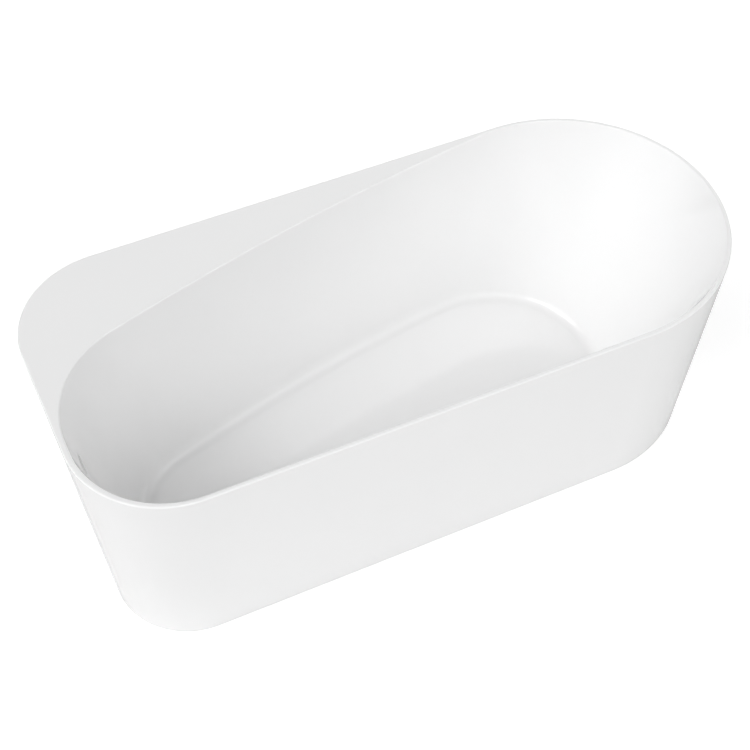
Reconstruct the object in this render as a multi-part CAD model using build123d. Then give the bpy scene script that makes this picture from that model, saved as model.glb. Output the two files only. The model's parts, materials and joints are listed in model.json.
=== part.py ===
"""Freestanding double-wall acrylic bath: a tapered apron with one half-round end, a
teardrop basin with a flat deck behind it, a steel frame on screw feet, and the waste,
trap and overflow.

Frame: +X along the bath towards the half-round reclining end, +Y towards the deck side,
+Z up, origin on the floor under the middle of the bath. All sizes are in millimetres.
"""

from build123d import *
import math
import os

# ------------------------------------------------------------------ outer form
LENGTH = 1700.0
WIDTH = 775.0
HEIGHT = 580.0
LEAN = 48.0                # how far each side leans in, from rim to floor
CORNER_R = 236.0           # the two corners at the -X end, at rim height
SKIN = 4.5                 # thickness of both acrylic shells
FLOOR_GAP = 2.0            # the apron stops this far above the floor
JOINT_Z = HEIGHT - 9.0     # where the apron butts against the basin's turned-down lip
RIM_ROUND = 4.0
RETURN_WIDTH = 22.0        # inward flange at the apron's foot

# ------------------------------------------------------------------ basin
BASIN_FLOOR = 136.0
DEPTH = HEIGHT - BASIN_FLOOR
FLOOR_FILLET = 40.0
# The reclining end is a circle, the back edge a long shallow arc between two fixed
# headings, and the drain end two more circles. Each value runs from rim to floor.
HEAD_X = (462.5, 276.0)
HEAD_Y = (0.0, -20.0)
HEAD_R = (376.0, 272.0)
BACK_R = (6500.0, 4840.0)
FOOT_BACK_R = (270.0, 235.0)
FOOT_FRONT_R = (225.0, 130.0)
BACK_HEADINGS = (97.73, 107.29)

# ------------------------------------------------------------------ backing, board, frame
TOUCH = 0.05               # hairline left between bonded curved faces
BACKING = 3.0              # laminate on the back of the basin
BACKING_TOP = 430.0
BOARD_T = 18.0
BOARD_INSET = 34.0
BOARD_TOP = BASIN_FLOOR - SKIN - TOUCH - BACKING
TUBE = 25.0
TUBE_WALL = 1.5
FRAME_TOP = BOARD_TOP - BOARD_T
FRAME_BOTTOM = FRAME_TOP - TUBE
FRAME_X = (-480.0, -40.0, 400.0)
FRAME_Y = (-190.0, 70.0)
SCREW_R = 2.4
STRAP_X = (-300.0, 250.0)
STRAP_WIDTH = 30.0
STRAP_T = 3.0
BLOCK = (60.0, 24.0, 44.0)

# ------------------------------------------------------------------ feet
STUD_R = 6.0
STUD_TOP = 97.0
THREAD_PLAY = 0.06
NUT_FLATS = 18.0
PAD_R = 27.0
PAD_H = 16.0

# ------------------------------------------------------------------ waste and overflow
DRAIN = (-590.0, -130.0)
DISH_R = 62.0
DISH_FLAT_R = 42.0
DISH_DROP = 3.0
DRAIN_HOLE_R = 25.0
DISH_Z = BASIN_FLOOR - DISH_DROP
FLANGE_R = 35.0
FLANGE_T = 2.5
SEAL_T = 1.5
TAIL_R = 23.0
TAIL_BORE = 19.5
TAIL_BOTTOM = 84.0
PLUG_GAP = 0.3
PLUG_R = 31.0
PLUG_EDGE = 1.6
PLUG_CROWN = 3.0
STEM_R = 4.0
OVERFLOW_Z = 495.0
OVERFLOW_Y = -130.0
SLOT_LENGTH = 62.0
SLOT_HEIGHT = 9.0
TRIM_EDGE = 2.5            # how far the trim's face covers the wall around the slot
TRIM_WALL = 2.0
HOSE_R = 12.0
HOSE_BORE = 9.5
HOSE_TOP_X = -819.5
HOSE_TOP_Z = 432.0
TEE_Z = 102.0


def blend(pair, share):
    """A value between its rim size (share 0) and its floor size (share 1)."""
    return pair[0] + (pair[1] - pair[0]) * share


def polar(centre, radius, heading):
    """The point at a heading, in degrees from +X, on a circle in plan."""
    angle = math.radians(heading)
    return (centre[0] + radius * math.cos(angle), centre[1] + radius * math.sin(angle))


def lean_at(z):
    """How far the outer skin has leaned in at this height."""
    return LEAN * (HEIGHT - z) / HEIGHT


# ------------------------------------------------------------------ plan outlines
def outer_face(z, inset=0.0):
    """The bath's outside in plan at height z, moved in by inset."""
    shift = lean_at(z) + inset
    left = -LENGTH / 2 + shift
    half = WIDTH / 2 - shift
    corner = CORNER_R - shift
    end_x = (LENGTH - WIDTH) / 2
    corner_x = left + corner
    corner_y = half - corner
    edges = [
        Line((corner_x, -half), (end_x, -half)),
        CenterArc((end_x, 0), half, -90, 180),
        Line((end_x, half), (corner_x, half)),
        CenterArc((corner_x, corner_y), corner, 90, 90),
        Line((left, corner_y), (left, -corner_y)),
        CenterArc((corner_x, -corner_y), corner, 180, 90),
    ]
    return Pos(0, 0, z) * make_face(edges)


def basin_face(z, grow=0.0):
    """The basin's wall in plan at height z, moved out by grow."""
    share = (HEIGHT - z) / DEPTH
    head = (blend(HEAD_X, share), blend(HEAD_Y, share))
    head_r = blend(HEAD_R, share)
    back_r = blend(BACK_R, share)
    foot_r = blend(FOOT_BACK_R, share)
    front_r = blend(FOOT_FRONT_R, share)
    start, end = BACK_HEADINGS
    back = polar(head, head_r - back_r, start)
    foot = polar(back, back_r - foot_r, end)
    left = foot[0] - foot_r
    front = head[1] - head_r
    corner = (left + front_r, front + front_r)
    edges = [
        Line((corner[0], front - grow), (head[0], front - grow)),
        CenterArc(head, head_r + grow, -90, start + 90),
        CenterArc(back, back_r + grow, start, end - start),
        CenterArc(foot, foot_r + grow, end, 180 - end),
        Line((left - grow, foot[1]), (left - grow, corner[1])),
        CenterArc(corner, front_r + grow, 180, 90),
    ]
    return Pos(0, 0, z) * make_face(edges)


def outer_volume(bottom, top, inset=0.0):
    """The leaning outside as a solid between two heights."""
    return loft([outer_face(bottom, inset), outer_face(top, inset)], ruled=True)


def basin_volume(grow, bottom, top):
    """The basin's hollow as a solid between two heights, with its walls moved out by grow."""
    return loft([basin_face(bottom, grow), basin_face(top, grow)], ruled=True)


def rounded_floor(volume, bottom, radius):
    """Rounds the edge between the basin's walls and its floor."""
    edges = volume.edges().filter_by_position(Axis.Z, bottom - 0.01, bottom + 0.01)
    return fillet(edges, radius)


def disc(radius, bottom, top, centre=(0.0, 0.0)):
    """An upright cylinder between two heights."""
    return Pos(centre[0], centre[1], (bottom + top) / 2) * Cylinder(radius, top - bottom)


def ring(outer, inner, bottom, top, centre=(0.0, 0.0)):
    """An upright ring between two heights."""
    return disc(outer, bottom, top, centre) - disc(inner, bottom - 1, top + 1, centre)


def hexagon(flats, bottom, top, centre=(0.0, 0.0)):
    """A hexagonal bar between two heights, sized across its flats."""
    plan = RegularPolygon(flats / 2, 6, major_radius=False)
    return extrude(Pos(centre[0], centre[1], bottom) * plan, top - bottom)


def block(low, high):
    """A box from its low corner to its high corner."""
    size = [b - a for a, b in zip(low, high)]
    middle = [(a + b) / 2 for a, b in zip(low, high)]
    return Pos(*middle) * Box(*size)


def along_x(radius, start, end, y, z):
    """A cylinder along X."""
    return Pos((start + end) / 2, y, z) * Rot(0, 90, 0) * Cylinder(radius, abs(end - start))


def along_y(radius, start, end, x, z):
    """A cylinder along Y."""
    return Pos(x, (start + end) / 2, z) * Rot(90, 0, 0) * Cylinder(radius, abs(end - start))


def slot_prism(length, height, start, end):
    """A bar along X with round ends, at the overflow's place."""
    plan = Plane(origin=(start, OVERFLOW_Y, OVERFLOW_Z), x_dir=(0, 1, 0), z_dir=(1, 0, 0))
    return extrude(plan * SlotOverall(length, height), end - start)


# ------------------------------------------------------------------ shells
def basin_shell():
    """Inner shell: basin, deck, rim and turned-down lip in one thickness of acrylic."""
    under = BASIN_FLOOR - SKIN
    outside = rounded_floor(basin_volume(SKIN, under, HEIGHT - SKIN), under, FLOOR_FILLET + SKIN)
    plate = outer_volume(HEIGHT - SKIN, HEIGHT)
    lip = outer_volume(JOINT_Z, HEIGHT - SKIN) - outer_volume(JOINT_Z, HEIGHT - SKIN, SKIN)
    hollow = rounded_floor(basin_volume(0, BASIN_FLOOR, HEIGHT), BASIN_FLOOR, FLOOR_FILLET)
    shell = plate + lip + outside - hollow
    top = shell.edges().filter_by_position(Axis.Z, HEIGHT - 0.01, HEIGHT + 0.01)
    shell = fillet(top, RIM_ROUND)
    shell -= disc(DISH_R, under - 5, BASIN_FLOOR + 5, DRAIN)
    shell += drain_dish()
    return shell - slot_prism(SLOT_LENGTH, SLOT_HEIGHT, -840, -780)


def drain_dish():
    """The shallow dish around the drain hole."""
    profile = Polyline(
        (DRAIN_HOLE_R, DISH_Z), (DISH_FLAT_R, DISH_Z), (DISH_R, BASIN_FLOOR),
        (DISH_R, BASIN_FLOOR - SKIN), (DISH_FLAT_R, DISH_Z - SKIN),
        (DRAIN_HOLE_R, DISH_Z - SKIN), close=True,
    )
    section = make_face(Plane.XZ * profile)
    return Pos(DRAIN[0], DRAIN[1], 0) * revolve(section, Axis.Z)


def apron_shell():
    """Outer skin, with an inward flange at its foot."""
    skin = outer_volume(FLOOR_GAP, JOINT_Z) - outer_volume(FLOOR_GAP, JOINT_Z, SKIN)
    foot_top = FLOOR_GAP + SKIN
    foot = outer_volume(FLOOR_GAP, foot_top, SKIN / 2)
    foot -= outer_volume(FLOOR_GAP, foot_top, SKIN + RETURN_WIDTH)
    return skin + foot


def basin_backing():
    """Glass laminate bonded to the back of the basin's lower half."""
    start = SKIN + TOUCH
    full = start + BACKING
    high = BASIN_FLOOR - start
    low = BASIN_FLOOR - full
    outside = rounded_floor(basin_volume(full, low, BACKING_TOP), low, FLOOR_FILLET + full)
    inside = rounded_floor(basin_volume(start, high, BACKING_TOP), high, FLOOR_FILLET + start)
    return outside - inside - disc(DISH_R + 8, low - 5, high + 5, DRAIN)


def deck_board():
    """Stiffening board bonded under the deck."""
    top = HEIGHT - SKIN
    bottom = top - 12
    slab = outer_volume(bottom, top, SKIN + 6) - basin_volume(SKIN + 6, bottom - 1, top + 1)
    keep = block((-800, 60, bottom - 1), (130, 400, top + 1))
    return slab & keep


def base_board():
    """Board laid into the laminate under the basin's floor."""
    board = extrude(basin_face(BASIN_FLOOR, -BOARD_INSET), -BOARD_T)
    board = Pos(0, 0, BOARD_TOP - BASIN_FLOOR) * board
    under = BOARD_TOP - BOARD_T - 1
    board -= disc(DISH_R + 8, under, BOARD_TOP + 1, DRAIN)
    notch = HOSE_R + 8
    board -= block((-750, DRAIN[1] - notch, under), (DRAIN[0], DRAIN[1] + notch, BOARD_TOP + 1))
    for x, y in frame_screw_places():
        board -= disc(SCREW_R + TOUCH, FRAME_TOP - 1, BOARD_TOP - 5, (x, y))
    return board


# ------------------------------------------------------------------ frame
def tube_x(y, start, end):
    """A square steel tube along X."""
    half = TUBE / 2
    outer = block((start, y - half, FRAME_BOTTOM), (end, y + half, FRAME_TOP))
    inner_half = half - TUBE_WALL
    low = (start - 1, y - inner_half, FRAME_BOTTOM + TUBE_WALL)
    high = (end + 1, y + inner_half, FRAME_TOP - TUBE_WALL)
    return outer - block(low, high)


def tube_y(x, start, end):
    """A square steel tube along Y."""
    half = TUBE / 2
    outer = block((x - half, start, FRAME_BOTTOM), (x + half, end, FRAME_TOP))
    inner_half = half - TUBE_WALL
    low = (x - inner_half, start - 1, FRAME_BOTTOM + TUBE_WALL)
    high = (x + inner_half, end + 1, FRAME_TOP - TUBE_WALL)
    return outer - block(low, high)


def foot_places():
    """Four feet under the ends of the rails and one under the middle."""
    corners = [(x, y) for x in (FRAME_X[0], FRAME_X[2]) for y in FRAME_Y]
    return corners + [(FRAME_X[1], sum(FRAME_Y) / 2)]


def frame_screw_places():
    """Two screws up through each rail's bays, on both rails."""
    return [(x, y) for x in (-370.0, -150.0, 70.0, 290.0) for y in FRAME_Y]


def strap_places():
    """Each strap: its x, its rail's y and the side of the bath that it reaches."""
    return [(x, y, math.copysign(1, y)) for x in STRAP_X for y in FRAME_Y]


def drilled(tube):
    """Opens a tube for the feet's studs and the board's screws."""
    for place in foot_places():
        tube -= disc(STUD_R + 1.5, FRAME_BOTTOM - 1, FRAME_BOTTOM + TUBE_WALL + 1, place)
    for place in frame_screw_places():
        tube -= disc(SCREW_R + TOUCH, FRAME_BOTTOM - 1, FRAME_TOP + 1, place)
    return tube


def frame_rails():
    """The frame's two long tubes."""
    reach = TUBE / 2
    return [drilled(tube_x(y, FRAME_X[0] - reach, FRAME_X[2] + reach)) for y in FRAME_Y]


def frame_crossbars():
    """The frame's three cross tubes, welded between the rails."""
    start = FRAME_Y[0] + TUBE / 2
    end = FRAME_Y[1] - TUBE / 2
    return [drilled(tube_y(x, start, end)) for x in FRAME_X]


def frame_screws():
    """Screws through the rails into the board."""
    screws = []
    for place in frame_screw_places():
        shank = disc(SCREW_R, FRAME_BOTTOM - 0.5, BOARD_TOP - 6, place)
        head = disc(SCREW_R * 2, FRAME_BOTTOM - 3, FRAME_BOTTOM, place)
        screws.append(shank + head)
    return screws


def apron_straps():
    """Flat steel straps welded under the rails, reaching out to the apron's blocks."""
    straps = []
    for x, y, side in strap_places():
        inner_end = y - side * TUBE / 2
        outer_end = side * (block_face() - 6)
        low_y, high_y = sorted((inner_end, outer_end))
        half = STRAP_WIDTH / 2
        top = FRAME_BOTTOM
        strap = block((x - half, low_y, top - STRAP_T), (x + half, high_y, top))
        hole_y = side * (block_face() - BLOCK[1] / 2)
        strap -= disc(SCREW_R + TOUCH, top - STRAP_T - 1, top + 1, (x, hole_y))
        straps.append(strap)
    return straps


def block_face():
    """Distance from the bath's middle to the apron's inner face at strap height."""
    return WIDTH / 2 - lean_at(FRAME_BOTTOM) - SKIN


def apron_blocks():
    """Timber blocks bonded inside the apron, which the straps screw to."""
    blocks = []
    for x, _, side in strap_places():
        inner = block_face() - BLOCK[1]
        low_y, high_y = sorted((side * inner, side * (block_face() + 20)))
        half = BLOCK[0] / 2
        piece = block((x - half, low_y, FRAME_BOTTOM), (x + half, high_y, FRAME_BOTTOM + BLOCK[2]))
        piece &= outer_volume(FLOOR_GAP, JOINT_Z, SKIN)
        hole_y = side * (block_face() - BLOCK[1] / 2)
        piece -= disc(SCREW_R + TOUCH, FRAME_BOTTOM - 1, FRAME_BOTTOM + 26, (x, hole_y))
        blocks.append(piece)
    return blocks


def strap_screws():
    """Screws up through the straps into the blocks."""
    screws = []
    for x, _, side in strap_places():
        place = (x, side * (block_face() - BLOCK[1] / 2))
        under = FRAME_BOTTOM - STRAP_T
        shank = disc(SCREW_R, under - 0.5, FRAME_BOTTOM + 25, place)
        screws.append(shank + disc(SCREW_R * 2, under - 3, under, place))
    return screws


# ------------------------------------------------------------------ feet
def foot_weld_nuts():
    """Nuts welded under the frame, one to a foot."""
    low = FRAME_BOTTOM - 10
    bore = STUD_R + THREAD_PLAY
    return [
        hexagon(NUT_FLATS, low, FRAME_BOTTOM, place) - disc(bore, low - 1, FRAME_BOTTOM + 1, place)
        for place in foot_places()
    ]


def foot_lock_nuts():
    """Lock nuts run up against the weld nuts."""
    high = FRAME_BOTTOM - 10
    low = high - 7
    bore = STUD_R + THREAD_PLAY
    return [
        hexagon(NUT_FLATS, low, high, place) - disc(bore, low - 1, high + 1, place)
        for place in foot_places()
    ]


def foot_stud(place):
    """Threaded stud with a hexagon to turn it and a ball that sits in the pad."""
    shank = disc(STUD_R, PAD_H + 2, STUD_TOP - 1, place)
    tip = disc(STUD_R - 1, STUD_TOP - 2, STUD_TOP, place)
    turner = hexagon(14, PAD_H + 4, PAD_H + 11, place)
    neck = disc(4.5, 9, PAD_H + 3, place)
    ball = Pos(place[0], place[1], 9) * Sphere(6.0)
    return shank + tip + turner + neck + ball


def foot_pad(place):
    """Round pad with a socket for the stud's ball."""
    profile = Polyline(
        (0, 0), (PAD_R, 0), (PAD_R, 4), (PAD_R - 3, 7), (13, PAD_H - 2), (11, PAD_H), (0, PAD_H),
        close=True,
    )
    pad = Pos(place[0], place[1], 0) * revolve(make_face(Plane.XZ * profile), Axis.Z)
    pad -= Pos(place[0], place[1], 9) * Sphere(6.06)
    return pad - disc(5.2, 9, PAD_H + 1, place)


# ------------------------------------------------------------------ waste and plug
FLANGE_LOW = DISH_Z + SEAL_T
FLANGE_TOP = FLANGE_LOW + FLANGE_T
RECESS_R = 26.0
RECESS_Z = FLANGE_TOP - 2.2
SHELL_UNDER = DISH_Z - SKIN
WASHER_LOW = SHELL_UNDER - 3
NUT_LOW = WASHER_LOW - 7
TEE_TOP = NUT_LOW - 1
TEE_LOW = 89.0
TEE_R = 31.0
SPIDER_Z = 98.0
CARTRIDGE_TOP = 133.0
CHAMBER = (SPIDER_Z + 8, CARTRIDGE_TOP - 3)
COLLAR_Z = 117.0


def waste_flange():
    """Chromed drain body: flange, tail, overflow windows and the web that holds the plug."""
    body = disc(FLANGE_R, FLANGE_LOW, FLANGE_TOP)
    body = fillet(body.edges().group_by(Axis.Z)[-1], 1.2)
    body += disc(TAIL_R, TAIL_BOTTOM, FLANGE_LOW + 1)
    body -= disc(TAIL_BORE, TAIL_BOTTOM - 1, FLANGE_TOP + 1)
    body -= disc(RECESS_R, RECESS_Z + 1.4, FLANGE_TOP + 1)
    body -= disc(TAIL_BORE + 2.5, RECESS_Z, FLANGE_TOP + 1)
    web = block((-TAIL_BORE - 1, -1.5, SPIDER_Z), (TAIL_BORE + 1, 1.5, SPIDER_Z + 4))
    web += Rot(0, 0, 90) * web
    body += web + disc(6.5, SPIDER_Z, SPIDER_Z + 4)
    body -= disc(5.0, SPIDER_Z - 1, SPIDER_Z + 5)
    for heading in (45, 135, 225, 315):
        window = block((TAIL_BORE - 2, -6, TEE_Z - 5), (TAIL_R + 2, 6, TEE_Z + 5))
        body -= Rot(0, 0, heading) * window
    return Pos(DRAIN[0], DRAIN[1], 0) * body


def plug_cartridge():
    """Push-to-open catch, screwed into the web."""
    body = disc(8.5, SPIDER_Z + 4, CARTRIDGE_TOP) + disc(4.9, SPIDER_Z - 2, SPIDER_Z + 5)
    body -= disc(STEM_R + 0.06, SPIDER_Z + 6, CARTRIDGE_TOP + 1)
    body -= disc(7.0, *CHAMBER)
    return Pos(DRAIN[0], DRAIN[1], 0) * body


def plug_spring():
    """Coil spring in the catch, around the stem's foot."""
    low = CHAMBER[0] + 0.6
    high = COLLAR_Z - 0.6
    coil = Helix(pitch=(high - low) / 5, height=high - low, radius=5.6)
    section = Plane(origin=coil @ 0, z_dir=coil % 0) * Circle(0.5)
    wire = sweep(section, path=coil, is_frenet=True)
    return Pos(DRAIN[0], DRAIN[1], low) * wire


def plug_stem():
    """Stem from the plug's cap down into the catch, with a collar for the spring."""
    low = SPIDER_Z + 7
    stem = disc(STEM_R, low, FLANGE_TOP + PLUG_GAP + 1, DRAIN)
    return stem + disc(6.6, COLLAR_Z, COLLAR_Z + 2, DRAIN)


def plug_cap():
    """Low domed cap that covers the drain."""
    low = FLANGE_TOP + PLUG_GAP
    crown = low + PLUG_EDGE + PLUG_CROWN
    dome_r = (PLUG_R**2 + PLUG_CROWN**2) / (2 * PLUG_CROWN)
    cap = disc(PLUG_R, low, crown) & Pos(0, 0, crown - dome_r) * Sphere(dome_r)
    cap -= disc(STEM_R, low - 1, low + 1)
    return Pos(DRAIN[0], DRAIN[1], 0) * cap


def plug_gasket():
    """Rubber ring under the cap."""
    high = FLANGE_TOP + PLUG_GAP
    return ring(23.5, 14.0, high - 1.0, high, DRAIN)


def waste_upper_seal():
    """Foam washer between the flange and the dish."""
    return ring(FLANGE_R - 1.5, DRAIN_HOLE_R, DISH_Z, FLANGE_LOW, DRAIN)


def waste_lower_seal():
    """Rubber washer under the shell."""
    return ring(35.0, TAIL_R + TOUCH, WASHER_LOW, SHELL_UNDER, DRAIN)


def waste_back_nut():
    """Nut that clamps the drain body to the shell."""
    nut = hexagon(62, NUT_LOW, WASHER_LOW, DRAIN)
    return nut - disc(TAIL_R + TOUCH, NUT_LOW - 1, WASHER_LOW + 1, DRAIN)


def waste_tee():
    """Collar around the tail that lets the overflow in through the windows."""
    body = disc(TEE_R, TEE_LOW, TEE_TOP)
    spigot_end = -TEE_R - 24
    body += along_x(HOSE_BORE - TOUCH, spigot_end, -TAIL_R - 3, 0, TEE_Z)
    body += along_x(HOSE_R + 2, -TEE_R - 6, -TAIL_R - 3, 0, TEE_Z)
    body -= disc(TAIL_R + TOUCH, TEE_LOW - 1, TEE_TOP + 1)
    body -= ring(TEE_R - 3, TAIL_R - 1, TEE_LOW + 6, TEE_TOP - 6)
    body -= along_x(HOSE_BORE - 2.5, spigot_end - 1, -TAIL_R, 0, TEE_Z)
    return Pos(DRAIN[0], DRAIN[1], 0) * body


# ------------------------------------------------------------------ trap
TRAP_TOP = 80.0
TRAP_R = 44.0
TRAP_LID = 70.0
TRAP_FOOT = 8.0
TRAP_SPLIT = 20.0
ARM_Z = 56.0
ARM_R = 13.0
ARM_BORE = 10.5
OUTLET = (DRAIN[0], DRAIN[1] + 100.0)
OUTLET_R = 20.2
OUTLET_STOP = 44.0         # how high the waste pipe goes up into the socket
OUTLET_MOUTH = 16.0
NUT_R = 29.5
NUT_RIBS = 12


def trap_inlet_washer():
    """Rubber washer between the drain's tail and the trap."""
    return ring(TAIL_R, 18.0, TRAP_TOP, TAIL_BOTTOM, DRAIN)


def trap_inlet_nut():
    """Nut that draws the trap up to the drain's tail."""
    low = TRAP_TOP - 5
    high = TAIL_BOTTOM + 3
    nut = ring(NUT_R, TAIL_R + TOUCH, low, high, DRAIN)
    for step in range(NUT_RIBS):
        nut += disc(2.0, low, high, polar(DRAIN, NUT_R, step * 360 / NUT_RIBS))
    return nut


def trap_body():
    """Trap's upper body: inlet pipe, lid, wall, and an arm to a socket that faces down."""
    body = disc(TRAP_R, TRAP_SPLIT, TRAP_LID, DRAIN)
    body -= disc(TRAP_R - 3, TRAP_SPLIT - 1, TRAP_LID - 3, DRAIN)
    body += disc(TAIL_R, TRAP_LID - 3, TRAP_TOP, DRAIN)
    body += disc(21.0, TRAP_SPLIT + 4, TRAP_LID, DRAIN)
    body += along_y(ARM_R, DRAIN[1] + TRAP_R - 3, OUTLET[1], DRAIN[0], ARM_Z)
    body += disc(OUTLET_R + 3.5, OUTLET_MOUTH, TRAP_LID, OUTLET)
    body -= disc(18.0, TRAP_SPLIT, TRAP_TOP + 1, DRAIN)
    body -= along_y(ARM_BORE, DRAIN[1] + 30, OUTLET[1], DRAIN[0], ARM_Z)
    body -= disc(OUTLET_R - 3.5, OUTLET_STOP, TRAP_LID - 2.5, OUTLET)
    return body - disc(OUTLET_R, OUTLET_MOUTH - 1, OUTLET_STOP, OUTLET)


def trap_bowl():
    """Trap's lower bowl, which unscrews for cleaning."""
    rim = TRAP_SPLIT + 7
    bowl = disc(TRAP_R + 3.5, TRAP_FOOT, rim)
    bowl = fillet(bowl.edges().group_by(Axis.Z)[0], 5)
    bowl -= disc(TRAP_R + TOUCH, TRAP_SPLIT, rim + 1)
    bowl -= disc(TRAP_R - 3, TRAP_FOOT + 3, rim + 1)
    return Pos(DRAIN[0], DRAIN[1], 0) * bowl


def trap_outlet_seal():
    """Rubber ring in the mouth of the outlet."""
    return ring(OUTLET_R + 3.5, OUTLET_R, OUTLET_MOUTH - 4, OUTLET_MOUTH, OUTLET)


def trap_outlet_nut():
    """Nut that squeezes the outlet's ring on a 40 mm pipe."""
    seat = OUTLET_MOUTH - 4
    nut = disc(OUTLET_R + 7, seat - 4, OUTLET_MOUTH + 14, OUTLET)
    nut -= disc(OUTLET_R + 3.6, seat, OUTLET_MOUTH + 15, OUTLET)
    return nut - disc(OUTLET_R, seat - 5, seat + 1, OUTLET)


# ------------------------------------------------------------------ overflow
def wall_band(inner, outer):
    """Material between two offsets of the basin's wall, at the overflow's height."""
    low = OVERFLOW_Z - 60
    high = OVERFLOW_Z + 60
    return basin_volume(outer, low, high) - basin_volume(inner, low - 1, high + 1)


def overflow_trim():
    """Slotted trim in the basin's wall."""
    face = slot_prism(SLOT_LENGTH + 2 * TRIM_EDGE, SLOT_HEIGHT + 2 * TRIM_EDGE, -850, -760)
    sleeve = slot_prism(SLOT_LENGTH - 0.2, SLOT_HEIGHT - 0.2, -850, -760)
    way = slot_prism(SLOT_LENGTH - 2 * TRIM_WALL, SLOT_HEIGHT - 2 * TRIM_WALL, -850, -760)
    return (wall_band(-1.0, -TOUCH) & face) + (wall_band(-0.8, SKIN + 4) & sleeve) - way


def overflow_seal():
    """Rubber gasket behind the wall."""
    band = wall_band(SKIN + TOUCH, SKIN + 2)
    gasket = band & slot_prism(SLOT_LENGTH + 22, SLOT_HEIGHT + 20, -850, -760)
    return gasket - slot_prism(SLOT_LENGTH, SLOT_HEIGHT, -850, -760)


def overflow_elbow():
    """Slim box behind the slot that turns the overflow down into the hose."""
    back = -833.5
    cover = block((back, OVERFLOW_Y - 43, OVERFLOW_Z - 16), (-780, OVERFLOW_Y + 43, OVERFLOW_Z + 18))
    body = cover - basin_volume(SKIN + 2 + TOUCH, OVERFLOW_Z - 60, OVERFLOW_Z + 60)
    throat = block(
        (back + 2, OVERFLOW_Y - SLOT_LENGTH / 2 - 1, OVERFLOW_Z - 12),
        (-780, OVERFLOW_Y + SLOT_LENGTH / 2 + 1, OVERFLOW_Z + SLOT_HEIGHT / 2 + 1),
    )
    body -= throat
    neck_top = OVERFLOW_Z - 14
    body += disc(HOSE_R + 1.5, HOSE_TOP_Z + 22, OVERFLOW_Z - 12, (HOSE_TOP_X, OVERFLOW_Y))
    body += disc(HOSE_BORE - TOUCH, HOSE_TOP_Z - 2, neck_top, (HOSE_TOP_X, OVERFLOW_Y))
    body -= disc(HOSE_BORE - 2.5, HOSE_TOP_Z - 3, neck_top + 4, (HOSE_TOP_X, OVERFLOW_Y))
    body &= outer_volume(FLOOR_GAP, JOINT_Z, SKIN + 0.3)
    return body - basin_volume(SKIN + 2 + TOUCH, OVERFLOW_Z - 60, OVERFLOW_Z + 60)


HOSE_ROUTE = [
    (HOSE_TOP_X, OVERFLOW_Y, HOSE_TOP_Z + 20),
    (HOSE_TOP_X, OVERFLOW_Y, HOSE_TOP_Z - 30),
    (-803, OVERFLOW_Y, 330),
    (-780, OVERFLOW_Y, 205),
    (-722, OVERFLOW_Y, TEE_Z),
    (DRAIN[0] - TEE_R - 6, OVERFLOW_Y, TEE_Z),
]
HOSE_SHARE = 0.45          # how much of the shorter run beside a corner its arc takes


def bend_radii(route):
    """The largest arc that each corner's two runs allow."""
    points = [Vector(*point) for point in route]
    radii = []
    for before, corner, after in zip(points, points[1:], points[2:]):
        runs = (corner - before, after - corner)
        turn = runs[0].get_angle(runs[1])
        shorter = min(run.length for run in runs)
        radii.append(HOSE_SHARE * shorter / math.tan(math.radians(turn / 2)))
    return radii


def overflow_hose():
    """Hose from the elbow down the end of the bath to the collar on the drain."""
    path = FilletPolyline(*HOSE_ROUTE, radius=bend_radii(HOSE_ROUTE))
    start = Plane(origin=path @ 0, z_dir=path % 0)
    print("hose length", round(path.length))
    return sweep(start * Circle(HOSE_R), path) - sweep(start * Circle(HOSE_BORE), path)


def hose_clips():
    """Spring clips at both ends of the hose."""
    top = ring(HOSE_R + 1.6, HOSE_R + TOUCH, HOSE_TOP_Z + 2, HOSE_TOP_Z + 12, (HOSE_TOP_X, OVERFLOW_Y))
    end = DRAIN[0] - TEE_R
    low = along_x(HOSE_R + 1.6, end - 22, end - 12, OVERFLOW_Y, TEE_Z)
    low -= along_x(HOSE_R + TOUCH, end - 23, end - 11, OVERFLOW_Y, TEE_Z)
    return [top, low]


# ------------------------------------------------------------------ writing
def save(name, shape):
    """Writes one named piece, or a group of like pieces."""
    shape = Compound(children=list(shape)) if isinstance(shape, list) else shape
    export_step(shape, f"parts/{name}.step")
    print(name, round(shape.volume), flush=True)


SINGLE_PARTS = [
    basin_shell, apron_shell, basin_backing, deck_board, base_board,
    frame_rails, frame_crossbars, frame_screws,
    apron_straps, apron_blocks, strap_screws, foot_weld_nuts, foot_lock_nuts,
    waste_flange, waste_upper_seal, waste_lower_seal, waste_back_nut, waste_tee,
    plug_cartridge, plug_spring, plug_stem, plug_cap, plug_gasket,
    trap_inlet_washer, trap_inlet_nut, trap_body, trap_bowl, trap_outlet_seal, trap_outlet_nut,
    overflow_trim, overflow_seal, overflow_elbow, overflow_hose, hose_clips,
]


def main():
    os.makedirs("parts", exist_ok=True)
    for make in SINGLE_PARTS:
        save(make.__name__, make())
    for number, place in enumerate(foot_places(), 1):
        save(f"foot_pad_{number}", foot_pad(place))
        save(f"foot_stud_{number}", foot_stud(place))


if __name__ == "__main__":
    main()
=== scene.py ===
"""Looks of the freestanding bath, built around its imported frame. Metres, in the frame's axes."""

import json
import math

import bmesh
import bpy
import numpy as np
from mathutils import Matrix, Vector
from mathutils.kdtree import KDTree


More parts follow.
